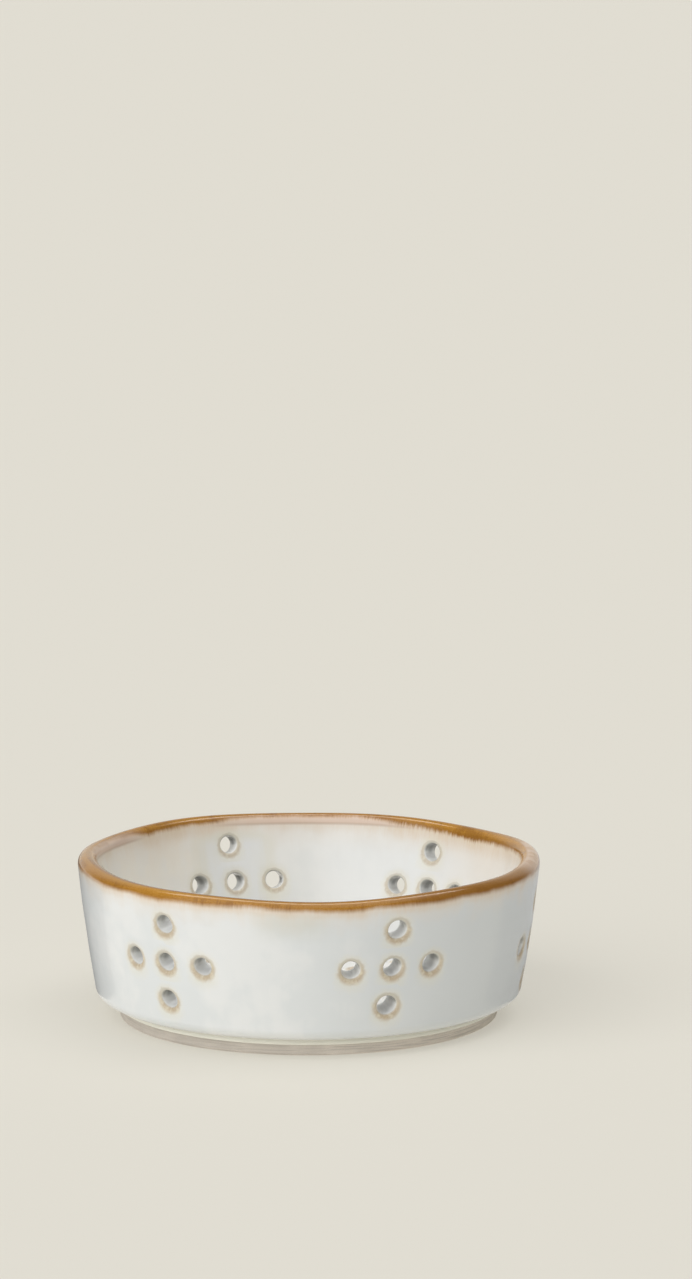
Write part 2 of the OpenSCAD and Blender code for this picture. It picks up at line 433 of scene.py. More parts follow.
class Sheet:
    """Rows of points on one path. Each row has its distance along the path and its own count."""

    def __init__(self, skin, path, rows, counts, owners):
        self.path, self.rows, self.counts, self.owners = path, np.array(rows), counts, owners
        self.first = []
        for s, n in zip(rows, counts):
            a = np.arange(n) * TURN / n
            self.first.append(skin.add(path, a, np.full(n, s)))
        self.open = [np.zeros(n, bool) for n in counts[:-1]]

    def ids(self, j, i):
        return self.first[j] + np.asarray(i) % self.counts[j]

    def block(self, a, s, wide, high):
        """Opens a block of cells about a place, and gives its lowest row and column."""
        j = int(np.argmin(np.abs((self.rows[:-high] + self.rows[high:]) / 2 - s)))
        n = self.counts[j]
        i = round(a / TURN * n - wide / 2)
        cells = np.arange(i, i + wide) % n
        for k in range(j, j + high):
            if self.counts[k] != n or self.counts[k + 1] != n or self.open[k][cells].any():
                raise ValueError(f"the cells about row {k} and column {i} are already in use")
            self.open[k][cells] = True
        return j, i


class Skin:
    """The bowl's whole glazed surface as one connected net, each face owned by a piece."""

    def __init__(self):
        self.points, self.runs, self.reach, self.drops = [], [], [], []
        self.count = 0
        self.faces, self.owners = [], []

    def add(self, path, a, s, points=None, reach=None):
        """Adds points at angles and distances on a path, and gives the first one's number."""
        if points is None:
            points = path.at(a, s)
        r = np.interp(s, path.s, path.r)
        round_r = RUN_R * np.minimum(1, r / FLOOR_R)
        self.points.append(points)
        self.runs.append(np.stack([round_r * np.cos(a), round_r * np.sin(a), s], -1))
        self.reach.append(np.full((len(a), 2), np.nan) if reach is None else reach)
        self.drops.append(path.drop(s))
        first = self.count
        self.count += len(a)
        return first

    def ring(self, path, a, s, points=None, reach=None):
        """Adds points as add does, and gives all their numbers."""
        return np.arange(len(a)) + self.add(path, a, s, points, reach)

    def quads(self, a, b, c, d, owner):
        """Adds the quads a-b-c-d of four rows of numbers."""
        self.faces.extend(np.stack([a, b, c, d], -1).tolist())
        self.owners.extend([owner] * len(a))

    def tris(self, a, b, c, owner):
        self.faces.extend(np.stack([a, b, c], -1).tolist())
        self.owners.extend([owner] * len(a))

    def weave(self, sheet, flipped):
        """Adds the faces between a sheet's rows, apart from its open blocks."""
        for j, (n, m) in enumerate(zip(sheet.counts[:-1], sheet.counts[1:])):
            owner = sheet.owners[j]
            if n == m:
                i = np.flatnonzero(~sheet.open[j])
                corners = ((j, i), (j + 1, i), (j + 1, i + 1), (j, i + 1))
                loop = [sheet.ids(*corner) for corner in corners]
                self.quads(*(loop[::-1] if flipped else loop), owner)
                continue
            i = np.arange(n)
            inner, after = sheet.ids(j, i), sheet.ids(j, i + 1)
            fine = [sheet.ids(j + 1, 2 * i + k) for k in range(3)]
            for tri in ((inner, fine[0], fine[1]), (inner, fine[1], after), (after, fine[1], fine[2])):
                self.tris(*(tri[::-1] if flipped else tri), owner)


def solve(path, hole, rho, theta, a, s):
    """Angles and distances on a path at which it is rho from a hole's axis, by Newton's steps."""
    nudge_a, nudge_s, longest = 1e-4, 0.1, 3
    want = np.stack([rho * np.cos(theta), rho * np.sin(theta)], -1)
    for _ in range(8):
        here = path.at(a, s)
        by_a = (path.at(a + nudge_a, s) - here) / nudge_a
        by_s = (path.at(a, s + nudge_s) - path.at(a, s - nudge_s)) / (2 * nudge_s)
        axes = np.stack([hole.u, hole.v], -1)
        miss = want - (here - hole.c) @ axes
        m = np.stack([by_a @ axes, by_s @ axes], -1)
        step = np.linalg.solve(m, miss[..., None])[..., 0]
        a, s = a + step[:, 0], s + np.clip(step[:, 1], -longest, longest)
    return a, s


def loop_of(wide, high):
    """Steps (along, up) round a block, anticlockwise from the middle of its right side."""
    half = high // 2
    right = [(wide, k) for k in range(half, high)]
    top = [(k, high) for k in range(wide, 0, -1)]
    left = [(0, k) for k in range(high, 0, -1)]
    bottom = [(k, 0) for k in range(0, wide)]
    return right + top + left + bottom + [(wide, k) for k in range(0, half)]


# Angles of the rings over a hole's edge in degrees, places of the loops between a block and that
# edge, places of the rings in the bore, and how many strips of the edge belong to the coat
TURNS = (90, 74, 60, 46, 31, 15, 0)
BETWEEN = (0.26, 0.52, 0.78)
BORE = (0.2, 0.4, 0.6, 0.8)
CUT = 3


def owner_along(k, strips, ends, owners):
    """The owner of strip k through a hole: a coat for the strips at each end, the lining between."""
    return owners[0] if k < ends else owners[2] if k >= strips - ends else owners[1]


def fit_hole(skin, hole, front, back, wide, owners, guess):
    """Joins a block of the front sheet through the hole to one of the back sheet."""
    high = BLOCK
    loop = np.array(loop_of(wide, high))
    count = len(loop)
    theta = np.arange(count) * TURN / count
    swell = hole.swell(theta)
    low = -np.sin(theta) if hole.side else np.zeros(count)
    chains = []
    # Both sides as (sheet, way its rows run, rough place, way along the axis, edge)
    sides = (
        (front, guess[0], guess[1], 1, hole.edges[0]),
        (back, guess[2], guess[3], -1, hole.edges[1]),
    )
    for sheet, up, start, out, edge in sides:
        path = sheet.path
        a, s = solve(path, hole, np.zeros(1), np.zeros(1), np.array([start[0]]), np.array([start[1]]))
        j, i = sheet.block(a[0], s[0], wide, high)
        rows = j + high - loop[:, 1] if up < 0 else j + loop[:, 1]
        border = np.array([sheet.ids(jj, i + ii) for jj, ii in zip(rows, loop[:, 0])])
        border_a, border_s = (i + loop[:, 0]) * TURN / sheet.counts[j], sheet.rows[rows]
        rings, r_here = [], max(np.interp(s[0], path.s, path.r), 1.0)
        outer = hole.radius + edge
        for beta in np.radians(TURNS):
            rho = (outer - edge * math.cos(beta)) * swell
            near_a, near_s = a[0] + rho * np.cos(theta) / r_here, s[0] + up * rho * np.sin(theta)
            ring_a, ring_s = solve(path, hole, rho, theta, near_a, near_s)
            depth = edge * (1 - math.sin(beta)) + hole.dimple
            points = path.at(ring_a, ring_s) - out * hole.w * depth
            rings.append((ring_a, ring_s, points, np.full(count, edge * beta)))
        # Between the block and the hole's edge, the rings follow the sheet
        first_a, first_s = rings[0][:2]
        made = [border]
        for share in BETWEEN:
            mid_a = border_a + (first_a - border_a) * share
            mid_s = border_s + (first_s - border_s) * share
            made.append(skin.ring(path, mid_a, mid_s))
        for ring_a, ring_s, points, reach in rings:
            made.append(skin.ring(path, ring_a, ring_s, points, np.stack([reach, low], -1)))
        chains.append((made, rings[-1]))
    (front_loops, front_end), (back_loops, back_end) = chains
    bore = []
    long = np.linalg.norm(back_end[2] - front_end[2], axis=1)
    for share in BORE:
        points = front_end[2] * (1 - share) + back_end[2] * share
        reach = -long * min(share, 1 - share)
        (near_a, near_s, *_), sheet = (front_end, front) if share < 0.5 else (back_end, back)
        bore.append(skin.ring(sheet.path, near_a, near_s, points, np.stack([reach, low], -1)))
    loops = front_loops + bore + back_loops[::-1]
    ends = 1 + len(BETWEEN) + CUT
    for k, (p, q) in enumerate(zip(loops[:-1], loops[1:])):
        owner = owner_along(k, len(loops) - 1, ends, owners)
        skin.quads(p, np.roll(p, -1), np.roll(q, -1), q, owner)


def rows_between(stops):
    """Row places from (place, steps to the next) pairs."""
    made = []
    for (here, steps), (after, _) in zip(stops[:-1], stops[1:]):
        made += list(np.linspace(here, after, steps, endpoint=False))
    return made + [stops[-1][0]]


# Rows of the floor with a quarter, half and all of the columns, and the radii of the changes
QUARTER_ROWS, HALF_ROWS, FULL_ROWS = 9, 20, 13
HALF_FROM_R, FULL_FROM_R = 14.0, 36.0
# Rows of the floor's rounded edge, of the wall inside and of the lip
EDGE_ROWS, WALL_ROWS, LIP_ROWS = 14, 29, 20
# Heights up the inside and down the outside as (height, side, rows to the next)
HEIGHTS = (
    (FLOOR_EDGE_H, -1, WALL_ROWS),
    (AMBER_INSIDE_Z, -1, LIP_ROWS),
    (AMBER_OUTSIDE_Z, 1, 35),
    (SHOULDER_H, 1, 12),
    (FOOT_H + 0.12, 1, 6),
    (FOOT_H - 0.9, 1, 2),
    (GLAZE_LINE_H + 0.5, 1, 6),
)
# How far a sheet stops short of its path's end, cells across the hole blocks, and the random seed
SHORT = 0.01
BLOCK, INNER_BLOCK, OUTER_BLOCK = 10, 12, 14
SEED = 11


def fit_middle_drain(skin, low, top, edge):
    """Carries both sheets' first rows through the drain hole in the middle of the floor."""
    count = low.counts[0]
    a, zero = np.arange(count) * TURN / count, np.zeros(count)
    floor_s = top.path.s[0]
    under_z, bends = FOOT_H - GLAZE_T, TURNS[1:]
    bore_shares, bore_reach = (0.25, 0.5, 0.75), -0.8
    tube = []
    for z, out, path, start in ((under_z, 1, low.path, 0.0), (FLOOR_Z, -1, top.path, floor_s)):
        for beta in np.radians(bends):
            rho = DRAIN_HOLE_R + edge - edge * math.cos(beta)
            depth = out * edge * (1 - math.sin(beta))
            points = np.stack([rho * np.cos(a), rho * np.sin(a), zero + z + depth], -1)
            reach = np.stack([zero + edge * beta, zero], -1)
            tube.append(skin.ring(path, a, zero + start + rho, points, reach))
    chain = [low.ids(0, np.arange(count))] + tube[: len(bends)]
    for share in bore_shares:
        z = (under_z + edge) * (1 - share) + (FLOOR_Z - edge) * share
        points = np.stack([DRAIN_HOLE_R * np.cos(a), DRAIN_HOLE_R * np.sin(a), zero + z], -1)
        reach = np.stack([zero + bore_reach, zero], -1)
        chain.append(skin.ring(top.path, a, zero + floor_s + DRAIN_HOLE_R, points, reach))
    chain += tube[len(bends) :][::-1] + [top.ids(0, np.arange(count))]
    for k, (p, q) in enumerate(zip(chain[:-1], chain[1:])):
        owner = owner_along(k, len(chain) - 1, CUT, DRAIN_OWNERS)
        skin.quads(q, np.roll(q, -1), np.roll(p, -1), p, owner)


def build_skin(shape):
    """Builds the glazed surface and gives its points, runs, marks, faces and owners."""
    rng = np.random.default_rng(SEED)
    skin, path, under = Skin(), skin_path(), under_path()
    n = shape.columns
    edge = shape.edge_inside / MM
    floor_s = path.s[0]
    middle = rows_between(
        [
            (DRAIN_HOLE_R + edge, QUARTER_ROWS),
            (HALF_FROM_R, HALF_ROWS),
            (FULL_FROM_R, FULL_ROWS),
            (FLOOR_R, 0),
        ]
    )
    coarse = [n // 4] * QUARTER_ROWS + [n // 2] * HALF_ROWS
    stops = [(floor_s + FLOOR_R, EDGE_ROWS)]
    stops += [(path.s_at(z, side), steps) for z, side, steps in HEIGHTS]
    stops += [(path.s[-1] - SHORT, 0)]
    rows = [floor_s + r for r in middle[:-1]] + rows_between(stops)
    owners = ["inner_white_coat"] * (len(middle) - 1 + EDGE_ROWS + WALL_ROWS)
    owners += ["amber_rim_coat"] * LIP_ROWS
    owners += ["outer_white_coat"] * (len(rows) - 1 - len(owners))
    top = Sheet(skin, path, rows, coarse + [n] * (len(rows) - len(coarse)), owners)
    stops = [(FLOOR_R, 3), (FOOT_INNER_R - 1.6, 8), (under.s[-1] - SHORT, 0)]
    rows = middle + rows_between(stops)[1:]
    counts = coarse + [n] * (len(rows) - len(coarse))
    low = Sheet(skin, under, rows, counts, ["underside_coat"] * (len(rows) - 1))

    side = side_hole_list(shape, rng)
    drains = drain_hole_list(shape, rng)
    hub = Hole((0, 0, 0), (1, 0, 0), (0, 1, 0), (0, 0, -1), DRAIN_HOLE_R, (edge, edge), rng, 0.0, False)
    for hole in side + drains:
        hole.dimple = shape.dimple / MM
        a, r = math.atan2(hole.c[1], hole.c[0]) % TURN, math.hypot(*hole.c[:2])
        if hole.side:
            outer, inner = path.s_at(hole.c[2], 1), path.s_at(hole.c[2], -1)
            fit_hole(skin, hole, top, top, BLOCK, SIDE_OWNERS, (-1, (a, outer), 1, (a, inner)))
        else:
            wide = OUTER_BLOCK if r > FULL_FROM_R else INNER_BLOCK
            fit_hole(skin, hole, low, top, wide, DRAIN_OWNERS, (1, (a, r), 1, (a, floor_s + r)))
    fit_middle_drain(skin, low, top, edge)

    skin.weave(top, False)
    skin.weave(low, True)
    points, runs = np.concatenate(skin.points), np.concatenate(skin.runs)
    reach, drops = np.concatenate(skin.reach), np.concatenate(skin.drops)
    mark_holes(points, reach, side, drains, hub)
    throw_marks(points, runs, shape.throwing / MM)
    return points, runs, np.c_[reach, drops], skin.faces, skin.owners


def mark_holes(points, reach, side, drains, hub):
    """Gives each plain point its distance from the nearest hole, and sinks the soft hollows."""
    side_range, drain_range, hollow_r = 16, 40, 1.5
    plain = np.isnan(reach[:, 0])
    here = points[plain]
    best = np.full(len(here), FAR)
    low = np.zeros(len(here))
    sink = np.zeros_like(here)
    for hole in side + drains + [hub]:
        rho, theta, t = hole.polar(here)
        near = (np.abs(t) < side_range) if hole.side else (rho < drain_range)
        edge = np.where(t > 0, *hole.edges)
        away = rho / hole.swell(theta) - hole.radius - edge
        far = edge * math.pi / 2 + away
        closer = near & (far < best)
        best = np.where(closer, far, best)
        low = np.where(closer, -np.sin(theta) if hole.side else 0.0, low)
        if hole is hub:
            continue
        front = t > 0 if hole.side else here[:, 2] < FLOOR_Z - 2
        deep = hole.dimple * np.exp(-((np.clip(away, 0, None) / hollow_r) ** 2)) * near
        sink -= (deep * np.where(front, 1, -1))[:, None] * hole.w
    points[plain] += sink
    reach[plain] = np.stack([best, low], -1)


def throw_marks(points, runs, depth):
    """Sinks faint rings of the throwing into the walls and floor, always into the clay."""
    pitch = 4.2
    a = np.arctan2(runs[:, 1], runs[:, 0])
    s = runs[:, 2]
    r = np.hypot(points[:, 0], points[:, 1])
    wall = np.clip((np.abs(s) - 5) / 3, 0, 1) * np.clip((points[:, 2] - 9.0) / 2, 0, 1)
    spiral = s + pitch * a / TURN
    ring = 0.5 + 0.32 * np.cos(TURN * spiral / pitch) + 0.18 * np.cos(TURN * spiral / (pitch / 2) + 1.3)
    slow = 0.5 + 0.25 * np.cos(3 * a + s / 9) + 0.25 * np.cos(5 * a - s / 6 + 2)
    deep = wall * depth * (0.6 * ring + 1.4 * slow)
    inward = np.where(s > 0, -1.0, 1.0) * deep
    points[:, 0] += np.cos(a) * inward
    points[:, 1] += np.sin(a) * inward
    floor = (points[:, 2] > FLOOR_Z - 0.3) & (points[:, 2] < FLOOR_Z + 2) & (s < 0)
    # Two rings in the floor as (radius, half width, share)
    for at, half, share in ((51.5, 1.3, 1), (35, 1.6, 0.5)):
        points[:, 2] -= floor * share * np.exp(-(((r - at) / half) ** 2)) * depth * 2.2


def normals_of(points, faces):
    """Smooth normals of a net, weighted by area."""
    made = np.zeros_like(points)
    by_size = {}
    for f in faces:
        by_size.setdefault(len(f), []).append(f)
    for group in by_size.values():
        f = np.array(group)
        if f.shape[1] == 4:
            n = np.cross(points[f[:, 2]] - points[f[:, 0]], points[f[:, 3]] - points[f[:, 1]])
        else:
            n = np.cross(points[f[:, 1]] - points[f[:, 0]], points[f[:, 2]] - points[f[:, 0]])
        for k in range(f.shape[1]):
            np.add.at(made, f[:, k], n)
    long = np.linalg.norm(made, axis=1, keepdims=True)
    return made / np.where(long == 0, 1, long)


def boundary_edges(faces):
    """Directed edges that only one face uses."""
    edges = set()
    for f in faces:
        for p, q in zip(f, f[1:] + f[:1]):
            if (q, p) in edges:
                edges.remove((q, p))
            else:
                edges.add((p, q))
    return sorted(edges)


SKINS = {}


def skin_of(shape):
    """The glazed surface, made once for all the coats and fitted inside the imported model's box."""
    key = tuple(getattr(shape, k) for k in BowlShape.__annotations__)
    if key not in SKINS:
        points, runs, reach, faces, owners = build_skin(shape)
        low, high = (np.array(c) / MM for c in CAD_BOX)
        across = min(np.min(high[:2] / points[:, :2].max(0)), np.min(low[:2] / points[:, :2].min(0)))
        points[:, :2] *= min(1.0, across)
        over = points[:, 2] > SHOULDER_H
        reach_up = (high[2] - SHOULDER_H) / (points[:, 2].max() - SHOULDER_H)
        points[over, 2] = SHOULDER_H + (points[over, 2] - SHOULDER_H) * min(1.0, reach_up)
        SKINS.clear()
        SKINS[key] = (points, runs, reach, faces, owners, normals_of(points, faces))
    return SKINS[key]


def new_mesh(name, points, faces, normals, marks):
    """A smooth mesh object in metres, with its normals and its marks for the materials."""
    mesh = bpy.data.meshes.new(name)
    mesh.from_pydata((points * MM).tolist(), [], faces)
    mesh.polygons.foreach_set("use_smooth", [True] * len(mesh.polygons))
    for mark, kind, values in marks:
        layer = mesh.attributes.new(mark, kind, "POINT")
        layer.data.foreach_set("vector", values.astype(np.float32).ravel())
    if normals is not None:
        mesh.normals_split_custom_set_from_vertices(normals.tolist())
    mesh.update()
    made = bpy.data.objects.new(name, mesh)
    bpy.context.scene.collection.objects.link(made)
    return made


def coat(name, thick):
    """One piece of the skin as a closed shell of that thickness in millimetres."""
    points, runs, reach, faces, owners, normals = skin_of(bpy.context.scene.bowl_shape)
    mine = [f for f, o in zip(faces, owners) if o == name]
    used = np.unique([i for f in mine for i in f])
    number = np.full(len(points), -1)
    number[used] = np.arange(len(used))
    mine = [[int(number[i]) for i in f] for f in mine]
    outside, n = points[used], normals[used]
    size = len(used)
    shell = mine + [[i + size for i in reversed(f)] for f in mine]
    shell += [[q, p, p + size, q + size] for p, q in boundary_edges(mine)]
    marks = [
        (RUN, "FLOAT_VECTOR", np.tile(runs[used], (2, 1))),
        (REACH, "FLOAT_VECTOR", np.tile(reach[used], (2, 1))),
    ]
    made = new_mesh(
        name, np.concatenate([outside, outside - n * thick]), shell, np.concatenate([n, -n]), marks
    )
    node, slot = COATS[name]
    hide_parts(node)
    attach(made, ROOT)
    return made


# Material nodes


class Graph:
    """Short ways to add shader nodes. Values may be numbers, tuples or sockets."""

    def __init__(self, tree):
        self.tree = tree
        self.tree.nodes.clear()

    def node(self, kind, *values, **settings):
        """A node with its settings, whose first sockets are fed with the values."""
        made = self.tree.nodes.new(kind)
        for name, value in settings.items():
            setattr(made, name, value)
        self.feed_all(made.inputs, values)
        return made

    def feed(self, socket, value):
        if isinstance(value, bpy.types.NodeSocket):
            self.tree.links.new(value, socket)
        elif isinstance(value, (tuple, list)) and len(value) == 3 and len(socket.default_value) == 4:
            socket.default_value = (*value, 1)
        else:
            socket.default_value = value

    def feed_all(self, sockets, values):
        for socket, value in zip(sockets, values):
            self.feed(socket, value)

    def math(self, operation, first, *others):
        """The first value with the others taken in one after another."""
        for other in others:
            first = self.node("ShaderNodeMath", first, other, operation=operation).outputs[0]
        return first

    def add(self, *values):
        return self.math("ADD", *values)

    def times(self, *values):
        return self.math("MULTIPLY", *values)

    def larger(self, *values):
        return self.math("MAXIMUM", *values)

    def absolute(self, value):
        return self.node("ShaderNodeMath", value, operation="ABSOLUTE").outputs[0]

    def wander(self, noise, reach):
        """A noise carried to either side of zero."""
        return self.times(self.add(noise, -0.5), reach)

    def less(self, value):
        """One less the value."""
        return self.math("SUBTRACT", 1.0, value)

    def vector(self, operation, *values):
        made = self.node("ShaderNodeVectorMath", *values, operation=operation)
        return made.outputs[1 if operation in ("LENGTH", "DOT_PRODUCT") else 0]

    def step(self, value, low, high, to_low=0.0, to_high=1.0):
        """A smooth step of the value between low and high."""
        given = (value, low, high, to_low, to_high)
        return self.node("ShaderNodeMapRange", *given, interpolation_type="SMOOTHSTEP").outputs[0]

    def mix(self, share, a, b):
        made = self.node("ShaderNodeMix", share, data_type="RGBA")
        self.feed_all(made.inputs[6:8], (a, b))
        return made.outputs[2]

    def noise(self, place, scale, detail=2.0, rough=0.5):
        """Noise about a half, with features of about one over the scale."""
        made = self.node("ShaderNodeTexNoise", place, noise_dimensions="3D", noise_type="FBM")
        self.feed_all(made.inputs[2:5], (scale, detail, rough))
        return made.outputs[0]

    def place_mm(self):
        """The place on the object, in millimetres."""
        return self.vector("MULTIPLY", self.node("ShaderNodeTexCoord").outputs["Object"], (1 / MM,) * 3)

    def bump(self, shader, strength, height):
        """Raises the shader's surface by a height in millimetres."""
        lift = self.node("ShaderNodeBump")
        lift.inputs["Strength"].default_value = strength
        lift.inputs["Distance"].default_value = MM
        self.feed(lift.inputs["Height"], height)
        self.feed(shader.inputs["Normal"], lift.outputs[0])

    def end(self, shader, kind="ShaderNodeOutputMaterial"):
        """Leads the shader to the graph's output."""
        self.node(kind, shader.outputs[0])

    def attribute(self, name):
        return self.node("ShaderNodeAttribute", attribute_name=name).outputs["Vector"]

    def parts(self, vector):
        return tuple(self.node("ShaderNodeSeparateXYZ", vector).outputs)

    def joined(self, x, y, z):
        return self.node("ShaderNodeCombineXYZ", x, y, z).outputs[0]


class Paint:
    """A colour that is laid on in coats, from named tints."""

    def __init__(self, g, tints, first):
        self.g, self.tints, self.colour = g, tints, tints[first]

    def lay(self, over, *shares):
        """Lays a tint or a made colour over what is there, by the product of the shares."""
        over = self.tints[over] if isinstance(over, str) else over
        self.colour = self.g.mix(self.g.times(*shares), self.colour, over)


# Places round the bowl as (middle, half width, softness of the ends), in degrees
PLACES = {
    "painted_shade_side": (328, 34, 30),
    "warm_painted_light_side": (158, 34, 34),
    "pink_side": (18, 20, 20),
    "white_side": (62, 18, 16),
    "smear": (266, 6, 5),
    "white_run": (112, 8, 6),
    "toothed": (42, 30, 16),
    "front": (275, 18, 18),
    "back": (88, 21, 14),
    "back_left": (128, 14, 14),
    "left": (162, 15, 8),
    "right": (358, 14, 9),
    "dark_crest": (262, 74, 16),
    "dark_right": (322, 26, 22),
    "dark_front": (285, 30, 26),
    "dark_left": (188, 28, 18),
    "foot_painted_shade": (228, 30, 26),
    "foot_painted_light": (322, 30, 26),
}


def patch(g, x, y, name):
    """A mask that is 1 about a place round the bowl, from the run's x and y."""
    angle, half, soft = PLACES[name]
    a = math.radians(angle)
    along = g.add(g.times(x, math.cos(a) / RUN_R), g.times(y, math.sin(a) / RUN_R))
    far, near = (math.cos(math.radians(max(span, 0))) for span in (half + soft, half - soft))
    return g.step(along, far, near)


def scaled(colour, share):
    """A darker or paler shade of a colour."""
    return tuple(min(1.0, share * c) for c in colour)


def glaze_field():
    """Node group that paints the glazes by the place on the bowl: colour, roughness and height."""
    if "bowl_glazes" in bpy.data.node_groups:
        return bpy.data.node_groups["bowl_glazes"]
    look = bpy.context.scene.glaze_look
    tints = {name: tuple(getattr(look, name)) for name in GlazeLook.__annotations__ if name != "gloss"}
    tree = bpy.data.node_groups.new("bowl_glazes", "ShaderNodeTree")
    for name, kind in (("Colour", "Color"), ("Roughness", "Float"), ("Height", "Float")):
        tree.interface.new_socket(name=name, in_out="OUTPUT", socket_type="NodeSocket" + kind)
    g = Graph(tree)
    run = g.attribute(RUN)
    x, y, s = g.parts(run)
    reach, low, drop = g.parts(g.attribute(REACH))
    outside = g.step(s, -0.3, 0.3)
    inside = g.less(outside)
    _, _, high = g.parts(g.place_mm())

    def about(name):
        return patch(g, x, y, name)

    # Noises: slow drifts of thickness, streaks down the wall, hairs under the lip, and fine grain
    drift = g.noise(run, 0.03, 2.0)
    cloud = g.noise(run, 0.13, 2.0)
    streak = g.noise(g.joined(x, y, g.times(s, 0.12)), 0.40, 3.0, 0.6)
    hair = g.noise(g.joined(x, y, g.times(s, 0.16)), 1.7, 2.0, 0.6)
    grain = g.noise(run, 2.4, 3.0, 0.7)

    # White glaze, cooler where it is thick, with painted shade on the right of the outside, and warmer
    # inside, mostly on one side, where the warm tint is also painted light
    glaze = Paint(g, tints, "white")
    thick = g.step(g.add(drift, g.wander(cloud, 0.5), g.wander(streak, 0.12)), 0.37, 0.65)
    glaze.lay("cool", thick, 0.8)
    # Painted shade: a darker tint on the right of the outer wall
    glaze.lay("deep", about("painted_shade_side"), outside, 0.9)
    glaze.lay("warm", inside, 0.3)
    mottled = g.step(g.add(cloud, g.wander(streak, 0.25)), 0.3, 0.65, 0.5, 0.85)
    # Painted light: the pale warm tint lightens the shaded left side of the inside
    glaze.lay("warm", about("warm_painted_light_side"), inside, g.step(drop, 46.0, 8.0), mottled)
    glaze.lay("blush", about("pink_side"), inside, g.step(drop, 40.0, 18.0), 0.4)

    # A darker ring at the floor's edge, of thicker glaze and painted shade where the floor meets the
    # wall, and a drab smear under the amber at the front
    ring_out = g.step(g.vector("LENGTH", g.joined(x, y, 0.0)), 58.0, 73.0)
    on_floor = g.step(high, FLOOR_Z + 2.0, FLOOR_Z + 0.5)
    glaze.lay("deep", ring_out, on_floor, inside, g.step(drift, 0.3, 0.7, 0.45, 0.75))
    glaze.lay("drab", about("smear"), outside, g.step(drop, 4.0, 6.5), g.step(drop, 17.0, 8.0), 0.4)

    # Lower edges of the amber, which wander slowly and have fine teeth
    teeth = g.add(0.7, g.times(about("toothed"), 1.5))
    edge_out = g.add(4.45, g.wander(drift, 3.0), g.wander(cloud, 1.3), g.wander(hair, 0.4))
    edge_out = g.add(edge_out, g.times(about("front"), -0.3))
    edge_in = g.add(4.8, g.wander(drift, 3.0), g.wander(cloud, 1.8), g.times(g.add(hair, -0.5), teeth))
    back, back_left, left = about("back"), about("back_left"), about("left")
    edge_in = g.add(edge_in, g.times(back, -2.4), g.times(back_left, -0.7), g.times(left, -2.4))
    below = g.math("SUBTRACT", drop, g.add(g.times(outside, edge_out), g.times(inside, edge_in)))

    # Pink and tan haze below the amber, running down in faint streaks
    far_end = g.add(8.5, g.wander(streak, 7.0), g.wander(cloud, 12.0), g.times(inside, 6.0))
    near_end = g.add(3.5, g.wander(streak, 2.0), g.wander(cloud, 3.0), g.times(inside, 3.5))
    veil = g.step(g.add(hair, g.wander(cloud, 0.8)), 0.25, 0.72, 0.75, 1.0)
    glaze.lay("blush", g.step(below, far_end, -1.0), g.add(0.46, g.times(inside, 0.08)))
    glaze.lay("haze", g.step(below, near_end, -0.6), veil, g.add(0.62, g.times(inside, -0.06)))

    # White over the haze on one side of the inside, and a run of thick glaze with cream edges
    glaze.lay("white", about("white_side"), inside, g.step(drop, 7.0, 15.0), 0.5)
    run_mask = patch(g, g.add(x, g.wander(streak, 3.0)), y, "white_run")
    run_mask = g.times(run_mask, inside, g.step(drop, 6.0, 12.0), g.step(drop, 46.0, 36.0))
    glaze.lay("cream", run_mask, g.less(run_mask), 2.2)
    glaze.lay("white", run_mask, 0.7)

    # Clear glaze under the lip at the back and the left, with a thin line of amber along it
    back_or_left = g.larger(back, left)
    glaze.lay("clear", back_or_left, inside, g.step(drop, 5.3, 4.7), 0.85)
    glaze.lay("amber_dark", back_or_left, inside, g.step(drop, 4.3, 4.9), g.step(drop, 5.7, 5.1), 0.22)

    # Amber lip: grain, a painted highlight as a pale band outside, darker pools on the crest and at the
    # edges, and painted shade outside on the right, front and left
    amber = Paint(g, tints, "amber")
    amber.lay("amber_pale", g.step(grain, 0.44, 0.68))
    amber.lay("amber_dark", g.step(grain, 0.47, 0.36), 0.4)
    amber.lay("amber_dark", g.step(g.add(cloud, g.wander(hair, 0.6)), 0.49, 0.70, 0.0, 0.55))
    # Painted highlight: a pale band on the upper outside of the lip
    painted_highlight_band = g.times(g.step(s, 0.2, 0.9), g.step(s, 2.6, 1.6))
    amber.lay("amber_pale", painted_highlight_band, g.step(cloud, 0.35, 0.6, 0.25, 0.75))
    crest = g.times(g.step(s, -1.7, -1.0), g.step(s, 1.1, 0.5))
    crest = g.times(crest, g.add(0.30, g.times(about("dark_crest"), 0.42)))
    pool = g.times(g.step(below, -2.4, -0.7), g.step(below, 0.7, -0.3))
    pool = g.larger(crest, g.times(pool, g.add(0.30, g.times(inside, 0.2))))
    # Painted shade: darker amber on the right, front and left of the lip's outside
    for name, share in (("dark_right", 0.78), ("dark_front", 0.34), ("dark_left", 0.4)):
        pool = g.larger(pool, g.times(about(name), outside, share))
    amber.lay("amber_dark", pool)

    # The lip is worn to clear glaze at its right and left ends
    right = g.times(about("right"), g.step(s, -1.6, -0.6), g.step(drop, 6.0, 2.0), 0.7)
    left_crest = g.times(left, inside, g.step(drop, 0.5, 1.8), 0.5)
    patchy = g.step(g.add(cloud, g.wander(hair, 0.5)), 0.34, 0.56, 0.55, 1.0)
    amber.lay("clear", g.larger(right, left_crest), patchy)
    glaze.lay(amber.colour, g.step(below, 1.3, -0.9))

    # The glazed strip on the foot is pale, painted light in the shade under the wall, with a thin dark
    # line of painted shade and thin glaze in the groove above it
    # Painted light: the strip is painted paler where the wall above shades it
    glaze.lay("strip", outside, g.step(high, FOOT_H + 0.4, FOOT_H - 0.4))
    groove = g.step(high, FOOT_H - 0.55, FOOT_H - 0.2)
    # Painted shade in the groove, also thin glaze
    glaze.lay("thin", groove, g.step(high, FOOT_H + 0.6, FOOT_H + 0.15), outside, 0.45)
